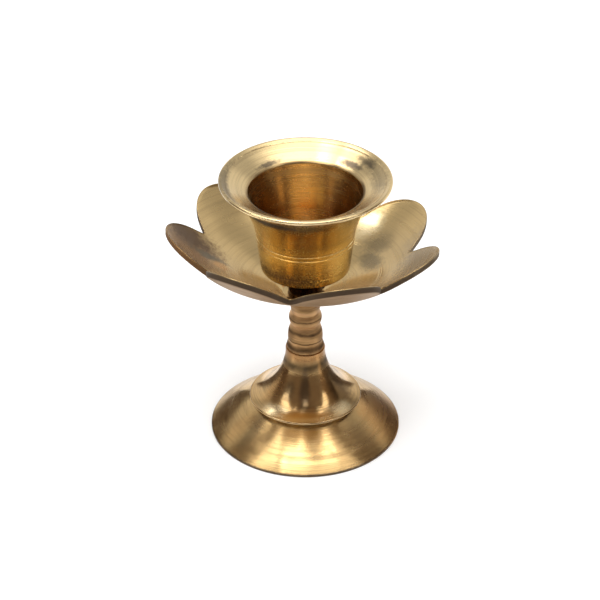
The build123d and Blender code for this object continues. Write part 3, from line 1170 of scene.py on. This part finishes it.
@dataclass
class PetalDish(Group):
    """The drip dish: seven petals sawn from one bowl, which leans on its level hub."""

    wall: float = 1.7 * MM
    hub_radius: float = 8.4 * MM
    hub_edge: Point = (0.1 * MM, 0.2 * MM)
    hub_step: float = 0.3 * MM
    cone_start: float = 7.0 * MM
    cone_slope: float = 24.6
    bend_start: float = 33.0 * MM
    bend_radius: float = 30.0 * MM
    petal_slope: float = 40.0
    petal_count: int = 7
    petal_turn: float = 31.4
    notch_radius: float = 36.9 * MM
    notch_round: float = 1.0 * MM
    petal_reach: float = 11.4 * MM
    flank: float = 4.8 * MM
    edge_round: float = 0.4 * MM
    edge_pin: float = 1.5
    sawn_from: Point = (0.3, 0.7)
    lean_full_radius: float = 10.0 * MM
    shift: float = 1.3 * MM
    shift_towards: float = 172.0
    shift_start: float = 3.0 * MM
    seated_radius: float = 6.5 * MM
    steps_round: int = 48
    inside_steps: int = 44
    under_steps: int = 30
    edge_steps: int = 5
    groove_radii: Point = (26.9 * MM, 27.6 * MM)
    groove_depth: float = 0.06 * MM
    groove_width: float = 0.25 * MM

    def face(self, radius: float, wall: float = 0.0) -> float:
        """Find the height of the underside, or of the inside above it: a cone, a bend and the petal's slope.

        Args:
            radius: Distance from the axis.
            wall: How far the face lies from the underside.

        Returns:
            The height above the hub's underside.
        """
        low, high = radians(self.cone_slope), radians(self.petal_slope)
        square, round_off = self.cone_slope + 90, self.bend_radius - wall
        start = along((self.cone_start, 0.0), square, wall)
        bend = along(start, self.cone_slope, (self.bend_start - self.cone_start) / cos(low))
        centre = along(bend, square, round_off)
        end = centre[0] + round_off * sin(high)
        if radius <= bend[0]:
            return start[1] + (radius - start[0]) * tan(low)
        if radius <= end:
            return centre[1] - sqrt(round_off**2 - (radius - centre[0]) ** 2)
        return centre[1] - round_off * cos(high) + (radius - end) * tan(high)

    def rim(self, bearing: float) -> float:
        """Find the plan radius of a petal's edge.

        Args:
            bearing: Angle from the middle of the petal, in radians.

        Returns:
            The distance from the axis.
        """
        bearing = abs(bearing)
        half = pi / self.petal_count
        notch = (self.notch_radius * sin(half), self.notch_radius * cos(half))
        rise = self.notch_radius + self.petal_reach - notch[1]
        arc = (notch[0] ** 2 + rise**2 - self.flank**2) / (2 * rise)
        centre = notch[1] + rise - arc
        touch = atan2(notch[1] - centre, notch[0]) + atan2(self.flank, arc)
        flank = (arc * cos(touch), centre + arc * sin(touch))
        if bearing <= atan2(flank[0], flank[1]):
            return centre * cos(bearing) + sqrt(arc**2 - (centre * sin(bearing)) ** 2)
        run = (flank[0] - notch[0], flank[1] - notch[1])
        opening = atan2(run[1], run[0]) - (pi / 2 - half)
        round_centre = self.notch_radius + self.notch_round / sin(opening)
        sideways = round_centre * sin(half - bearing)
        if sideways < self.notch_round * cos(opening):
            return round_centre * cos(half - bearing) - sqrt(self.notch_round**2 - sideways**2)
        cross = flank[0] * run[1] - flank[1] * run[0]
        return cross / (sin(bearing) * run[1] - cos(bearing) * run[0])

    def groove(self, radius: float) -> float:
        """Find how deep the turned grooves are at a radius."""
        nearest = min(abs(radius - groove) for groove in self.groove_radii)
        return self.groove_depth * max(0.0, 1 - nearest / self.groove_width)

    def section(self, bearing: float) -> list[Point]:
        """List the closed section of the bowl, from the hub's hole out and back.

        Args:
            bearing: Angle from the middle of the petal, in radians.

        Returns:
            Radius and height of each point, above the hub's underside.
        """
        wall, hole, slope = self.wall, self.shop.rod_hole, radians(self.cone_slope)
        rim, soft = self.rim(bearing), self.edge_round
        end = rim - soft
        meets = self.cone_start + (wall - wall / cos(slope)) / tan(slope)
        points = [(hole, 0.0), (hole, wall), (meets - self.hub_step, wall), (meets, wall)]
        radii = spaced(meets + self.hub_step, end, self.inside_steps)
        for groove in self.groove_radii:
            radii += spaced(groove - self.groove_width, groove + self.groove_width, 4)
        points += [(radius, self.face(radius, wall) - self.groove(radius)) for radius in sorted(radii)]
        crest, keel = self.face(rim, wall), self.face(rim)
        turns = spaced(0.0, pi / 2, self.edge_steps)
        points += [(end + soft * sin(turn), crest - soft * (1 - cos(turn))) for turn in turns[1:]]
        points += [(rim, crest - self.edge_pin * soft), (rim, keel + self.edge_pin * soft)]
        points += [(end + soft * cos(turn), keel + soft * (1 - sin(turn))) for turn in turns[:-1]]
        points += [(radius, self.face(radius)) for radius in spaced(end, self.hub_radius, self.under_steps)]
        return points + [(self.hub_radius, self.hub_edge[1]), (self.hub_radius - self.hub_edge[0], 0.0)]

    def sector(self) -> bpy.types.Mesh:
        """Make one petal's sector of the bowl, from notch to notch, with no lean yet.

        Returns:
            Its mesh, which says where it is sawn and where it is the underside.
        """
        base = heights("stem")[1]
        vertices, faces, sawn, under = [], [], [], []
        for share in spaced(-1.0, 1.0, self.steps_round):
            bearing = pi / self.petal_count * sin(pi / 2 * share)
            section, rim = self.section(bearing), self.rim(bearing)
            count = len(section)
            x, y = cos(bearing), sin(bearing)
            vertices += [(radius * x, radius * y, base + height) for radius, height in section]
            crest = max(range(count), key=lambda index: section[index][0])
            limits = [rim - self.sawn_from[index >= crest] * self.edge_round for index in range(count)]
            sawn += [float(radius > limit) for (radius, _), limit in zip(section, limits)]
            under += [float(index > crest) for index in range(count)]
        for column in range(self.steps_round):
            here, there = column * count, (column + 1) * count
            for row in range(count):
                ahead = (row + 1) % count
                faces.append((here + row, here + ahead, there + ahead, there + row))
        mesh = bpy.data.meshes.new("petal_sector")
        mesh.from_pydata(vertices, [], faces)
        for name, values in (("sawn", sawn), ("under", under)):
            mesh.attributes.new(name, "FLOAT", "POINT").data.foreach_set("value", values)
        return mesh

    def leaned(self, mesh: bpy.types.Mesh) -> None:
        """Lean the bowl about the top of the stem, a little off the rod, and leave the hub level.

        Args:
            mesh: The bowl, whose vertices are moved.
        """
        base = heights("stem")[1]
        pivot = Vector((0.0, 0.0, base))
        turn = Matrix.Rotation(radians(LEAN), 4, heading(LEAN_TOWARDS + 90))
        for vertex in mesh.vertices:
            radius = hypot(vertex.co.x, vertex.co.y)
            seat = base if vertex.co.z < base + 0.5 * self.wall else base + self.wall
            leaned = turn @ (vertex.co - pivot) + pivot
            vertex.co = vertex.co.lerp(leaned, eased(radius, self.cone_start, self.lean_full_radius))
            share = eased(radius, self.shift_start, self.cone_start)
            vertex.co += heading(self.shift_towards) * self.shift * share
            if hypot(vertex.co.x, vertex.co.y) < self.seated_radius:
                vertex.co.z = seat

    def build(self) -> list[Piece]:
        """Repeat the petal round the hub, and lean the bowl.

        Returns:
            The piece, in a list.
        """
        values = {"Count": self.petal_count, "Material": self.shop.material(DISH_BRASS)}
        piece = baked("sawn_petal_dish", self.sector(), self.shop.petals, values, radians(self.petal_turn))
        self.leaned(piece.data)
        return [self.shop.placed(piece, "petal_dish", DISH_BRASS)]


@dataclass
class CandleCup(Group):
    """The flared cup and the short neck that holds it clear of the dish."""

    base_radius: float = 15.5 * MM
    corner: float = 1.0 * MM
    corner_handle: float = 0.45 * MM
    wall: float = 1.8 * MM
    floor: float = 2.5 * MM
    taper: float = 7.2
    straight_end: float = 14.1 * MM
    trumpet_height: float = 13.6 * MM
    trumpet_handle: float = 8.5 * MM
    rim_thickness: float = 1.5 * MM
    rim_slope: float = 24.0
    rim_handle: float = 7.0 * MM
    throat_radius: float = 19.9 * MM
    throat_depth: float = 4.9 * MM
    throat_slope: float = 76.0
    throat_handle: float = 5.0 * MM
    scribe_depth: float = 0.16 * MM
    scribe_width: float = 0.5 * MM
    scribe_heights: Triple = (3.4 * MM, 12.0 * MM, 13.7 * MM)
    lip_groove: float = 1.4 * MM
    neck_radius: float = 6.0 * MM
    neck_waist: float = 5.4 * MM
    neck_land: float = 1.2 * MM

    def side(self, height: float, depth: float = 0.0) -> Point:
        """Find the point of the tapered side at a height above the base, or at a depth inside it."""
        radius = self.base_radius + height * tan(radians(self.taper)) - depth
        return (radius, heights("candle_cup")[0] + height)

    def scribe(self, height: float) -> list[Point]:
        """List the three points of a scribed groove in the tapered side."""
        reach = self.scribe_width / 2
        return [self.side(height - reach), self.side(height, self.scribe_depth), self.side(height + reach)]

    def build(self) -> list[Piece]:
        """Turn the neck and the cup."""
        return [self.neck(), self.cup()]

    def cup(self) -> Piece:
        """Turn the cup: one taper, a trumpet curve, a rounded lip and a funnel down to the throat.

        Returns:
            The piece.
        """
        base, top = heights("candle_cup")
        half, slope = self.rim_thickness / 2, self.rim_slope
        lip = (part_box("candle_cup")[1].x - half, top - half)
        outside, edge, inside = (along(lip, slope + turn, half) for turn in (-90, 0, 90))
        side_wall = self.wall / cos(radians(self.taper))
        shoulder = self.side(self.trumpet_height, side_wall)
        inside_base = self.side(self.floor, side_wall)
        throat = (self.throat_radius, top - self.throat_depth)
        outline = Outline([(self.shop.rod_hole, base), (self.base_radius - self.corner, base)], curve_steps=40)
        handle = (self.base_radius - self.corner_handle, base)
        outline.bezier(handle, self.side(self.corner_handle), self.side(self.corner))
        for height in self.scribe_heights:
            outline.to(*self.scribe(height))
        outline.points[-1] = self.side(self.straight_end)  # the highest groove runs out in the trumpet
        start = along(self.side(self.trumpet_height), 90 - self.taper, self.trumpet_handle)
        outline.bezier(start, along(outside, slope + 180, self.rim_handle), outside).arc(edge, inside)
        inward = degrees(atan2(throat[1] - inside[1], throat[0] - inside[0]))
        groove = along(along(inside, inward, self.lip_groove), inward + 90, self.scribe_depth / 2)
        before, after = (self.lip_groove + way * self.scribe_width / 2 for way in (-1, 1))
        outline.to(along(inside, inward, before), groove, along(inside, inward, after), throat)
        start = along(throat, self.throat_slope - 180, self.throat_handle)
        outline.bezier(start, along(shoulder, 90 - self.taper, self.throat_handle), shoulder)
        outline.to(inside_base, (self.shop.rod_hole, inside_base[1]))
        return self.softened("candle_cup", outline, CUP_BRASS, 320)

    def neck(self) -> Piece:
        """Turn the neck, a waisted spool.

        Returns:
            The piece.
        """
        low, high = heights("cup_neck")
        hole, radius = self.shop.rod_hole, self.neck_radius
        outline = Outline([(hole, low), (radius, low), (radius, low + self.neck_land)])
        outline.arc((self.neck_waist, (low + high) / 2), (radius, high - self.neck_land))
        return self.softened("cup_neck", outline.to((radius, high), (hole, high)), CUP_BRASS)


@dataclass
class Hardware(Group):
    """The steel that clamps the stack: a threaded rod, two nuts and a washer."""

    core: float = 0.05 * MM
    chamfer: float = 0.4 * MM
    thread_pitch: float = 0.7 * MM
    thread_depth: float = 0.35 * MM
    nut_flats: float = 7.0 * MM
    nut_chamfer: float = 0.5 * MM
    nut_bore: float = 2.05 * MM
    nut_steps: int = 10
    rows_per_turn: int = 8

    def build(self) -> list[Piece]:
        """Make the rod, the nuts and the washer."""
        return [self.rod(), self.nut("base_nut"), self.nut("cup_nut"), self.washer()]

    def rod(self) -> Piece:
        """Turn the rod, with its thread.

        Returns:
            The piece.
        """
        (low, high), radius = heights("tie_rod"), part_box("tie_rod")[1].x
        start, end = low + self.chamfer, high - self.chamfer
        rows = spaced(start, end, ceil((end - start) / self.thread_pitch * self.rows_per_turn))
        outline = Outline([(self.core, high), (self.core, low), (radius - self.chamfer, low)])
        outline.to(*((radius, row) for row in rows), (radius - self.chamfer, high))
        thread = (self.thread_pitch, self.thread_depth, radius - self.thread_depth)
        return self.shop.turned("tie_rod", outline, STEEL, segments=32, thread=thread)

    def nut(self, node: str) -> Piece:
        """Make a hexagon nut, chamfered on both faces.

        Args:
            node: Name of the CAD node.

        Returns:
            The piece.
        """
        low, high = heights(node)
        corner, drop, steps = self.nut_flats / sqrt(3), self.nut_chamfer / 2, self.nut_steps
        radii = spaced(corner - self.nut_chamfer, corner, steps)
        outline = Outline([(self.nut_bore, low)]).to(*zip(radii, spaced(low, low + drop, steps)))
        outline.to(*zip(radii[::-1], spaced(high - drop, high, steps)), (self.nut_bore, high))
        return self.shop.turned(node, outline, STEEL, segments=180, flats=self.nut_flats)

    def washer(self) -> Piece:
        """Turn the washer.

        Returns:
            The piece.
        """
        (low, high), radius = heights("base_washer"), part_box("base_washer")[1].x
        hole = self.shop.rod_hole
        outline = Outline([(hole, low), (radius, low), (radius, high), (hole, high)])
        return self.softened("base_washer", outline, STEEL, 96)


# Studio -------------------------------------------------------------------------------------------


def matt(nodes: Nodes, colour: Triple) -> Value:
    """Add a matt shader of one colour."""
    return nodes.node("BsdfDiffuse", {"Color": (*colour, 1.0)})


@dataclass(frozen=True)
class SoftBox:
    """A square of soft light.

    Args:
        name: Its name.
        place: Where its middle is.
        size: Its width and depth.
        level: How bright it looks, where 1 is white.
    """

    name: str
    place: Triple
    size: Point
    level: float

    def build(self, target: Vector) -> None:
        """Hang the light.

        Args:
            target: What it points at.
        """
        lamp = bpy.data.lights.new(self.name, "AREA")
        lamp.shape = "RECTANGLE"
        lamp.size, lamp.size_y = self.size
        lamp.energy = self.level * pi * self.size[0] * self.size[1]
        held = linked(self.name, lamp)
        held.location = self.place
        held.rotation_euler = (Vector(self.place) - target).to_track_quat("Z", "Y").to_euler()
        held.visible_camera = False


@dataclass(frozen=True)
class Flag:
    """A dark card, bent round the stand, that gives the metal something dark to show.

    Args:
        name: Its name.
        radius: How far it stands from the axis.
        bearings: Where it starts and ends round the axis, in degrees.
        edges: Heights of its lower and upper edges.
        colour: Its colour.
        steps: Flat runs round the bend.
    """

    name: str
    radius: float
    bearings: Point
    edges: Point
    colour: Triple = (0.14, 0.11, 0.09)
    steps: int = 24

    def paint(self, nodes: Nodes) -> Value:
        """Paint the card."""
        return matt(nodes, self.colour)

    def build(self) -> None:
        """Stand the card up, out of the camera's sight."""
        ways = [heading(bearing) * self.radius for bearing in spaced(*self.bearings, self.steps)]
        mesh = bpy.data.meshes.new(self.name)
        vertices = [(way.x, way.y, height) for way in ways for height in self.edges]
        mesh.from_pydata(vertices, [], [(low, low + 1, low + 3, low + 2) for low in range(0, 2 * self.steps, 2)])
        mesh.materials.append(material(self.name, self.paint))
        card = linked(self.name, mesh)
        card.visible_camera = False
        card.visible_shadow = False
        card.visible_diffuse = False
        card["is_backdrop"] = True


@dataclass
class Studio:
    """A white floor in a pale room, soft light from above, dark cards and the camera.

    Args:
        floor_radius: Radius of the round floor.
        floor_colour: Its colour.
        near_glow: How much it glows round the stand.
        far_glow: How much it glows far off, where the lamps don't reach.
        target: What the camera looks at.
        camera_distance: How far the camera is from it.
        camera_angle: How high the camera stands, in degrees.
        camera_lens: Its focal length, in millimetres.
        lamp_target: What the lights point at.
        sweep_level: Brightness of the room up to the camera's height and a little more.
        wall_level: Brightness of the wall above that.
        ceiling_level: Brightness of the ceiling.
        wall_rise: Heights on the unit sphere between which the sweep turns into the wall.
        ceiling_rise: Heights between which the wall turns into the ceiling.
        glow_rise: Distances between which the floor's glow grows.
        flags: The dark cards.
        boxes: The lights.
    """

    floor_radius: float = 3.0
    floor_colour: Triple = (0.9, 0.9, 0.9)
    near_glow: float = 0.12
    far_glow: float = 0.32
    target: Triple = (-0.0019, 0.0, 0.05236)
    camera_distance: float = 0.8399
    camera_angle: float = 32.436
    camera_lens: float = 143.15
    lamp_target: Triple = (0.0, 0.0, 0.05)
    sweep_level: float = 0.85
    wall_level: float = 0.55
    ceiling_level: float = 1.1
    wall_rise: Point = (0.48, 0.60)
    ceiling_rise: Point = (0.72, 0.86)
    glow_rise: Point = (0.3, 1.0)
    flags: tuple[Flag, ...] = (
        Flag("front_flag", 0.42, (-198.0, 18.0), (0.0, 0.94)),
        Flag("left_low_card", 0.065, (-235.0, -168.0), (0.0, 0.024)),
        Flag("front_low_card", 0.065, (-150.0, -30.0), (0.0, 0.014)),
        Flag("right_low_card", 0.065, (-14.0, 55.0), (0.0, 0.024)),
    )
    boxes: tuple[SoftBox, ...] = (
        SoftBox("overhead_box", (0.0, -0.03, 0.75), (0.70, 0.46), 1.4),
        SoftBox("key_box", (-0.17, 0.0, 0.72), (0.14, 0.14), 5.0),
        SoftBox("front_strip", (0.04, -0.19, 0.745), (0.62, 0.12), 4.0),
        SoftBox("left_strip", (-0.371, -0.15, 0.29), (0.13, 0.56), 2.2),
        SoftBox("right_strip", (0.371, -0.15, 0.29), (0.10, 0.56), 1.7),
        SoftBox("back_box", (-0.244, 0.158, 0.525), (0.16, 0.16), 2.5),
        SoftBox("catch_light", (0.0, -0.40, 0.52), (0.10, 0.08), 3.0),
    )

    def build(self) -> None:
        """Set up the floor, the world, the lights and the camera."""
        bpy.context.scene.view_settings.view_transform = "Standard"
        self.floor()
        self.world()
        for box in self.boxes:
            box.build(Vector(self.lamp_target))
        for flag in self.flags:
            flag.build()
        self.camera()

    def paper(self, nodes: Nodes) -> Value:
        """Paint the floor: matt, with a glow in view and in reflections that grows with the distance.

        Args:
            nodes: The material's nodes.

        Returns:
            The shader.
        """
        distance = nodes.node("TexCoord", pick="Object").measured("LENGTH")
        level = distance.ramp(*self.glow_rise, self.near_glow, self.far_glow)
        glow = nodes.node("Emission", {"Strength": nodes.seen_by("Camera", "Glossy", "Transmission") * level})
        return nodes.node("AddShader", {0: glow, 1: matt(nodes, self.floor_colour)})

    def floor(self) -> None:
        """Lay a round white floor, which glows a little so that it stays white in view."""
        shell = bmesh.new()
        bmesh.ops.create_circle(shell, cap_ends=True, radius=self.floor_radius, segments=64)
        mesh = bpy.data.meshes.new("floor")
        shell.to_mesh(mesh)
        shell.free()
        mesh.materials.append(material("floor_paper", self.paper))
        floor = linked("floor", mesh)
        floor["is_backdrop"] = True

    def world(self) -> None:
        """Surround the stand with a white sweep, a dimmer wall above it and a pale ceiling."""
        world = bpy.data.worlds.new("studio")
        bpy.context.scene.world = world
        world.use_nodes = True
        nodes = Nodes(world.node_tree)
        height = nodes.node("TexCoord", pick="Generated").parts()[2]
        level = height.ramp(*self.wall_rise, self.sweep_level, self.wall_level)
        level = level + height.ramp(*self.ceiling_rise, 0.0, self.ceiling_level - self.wall_level)
        seen = nodes.seen_by("Camera", "Transmission")
        sockets = {"Color": (1.0, 1.0, 1.0, 1.0), "Strength": level * (1.0 - seen) + seen}
        nodes.end("ShaderNodeOutputWorld", nodes.node("Background", sockets))

    def camera(self) -> None:
        """Place the camera in front and above, looking down at the stand."""
        rise = radians(self.camera_angle)
        lens = bpy.data.cameras.new("camera")
        lens.lens = self.camera_lens
        lens.clip_end = 10.0
        held = linked("camera", lens)
        away = Vector((0.0, -cos(rise), sin(rise)))
        held.location = Vector(self.target) + away * self.camera_distance
        held.rotation_euler = away.to_track_quat("Z", "Y").to_euler()
        bpy.context.scene.camera = held


def corners(box: tuple[Vector, Vector]) -> list[list[float]]:
    """Return a box's two corners as plain lists."""
    return [list(corner) for corner in box]


def main() -> None:
    """Dress the stand, report each piece and set up the studio."""
    logging.basicConfig(level=logging.INFO, format="%(message)s")
    cad_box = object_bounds()
    shop = Workshop()
    for group in (Foot, Stem, PetalDish, CandleCup, Hardware):
        for piece in group(shop).build():
            log.info("%s: %d faces", piece.name, len(piece.data.polygons))
    Studio().build()
    {"cad": corners(cad_box), "visual": corners(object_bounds())}


if __name__ == "__main__":
    main()
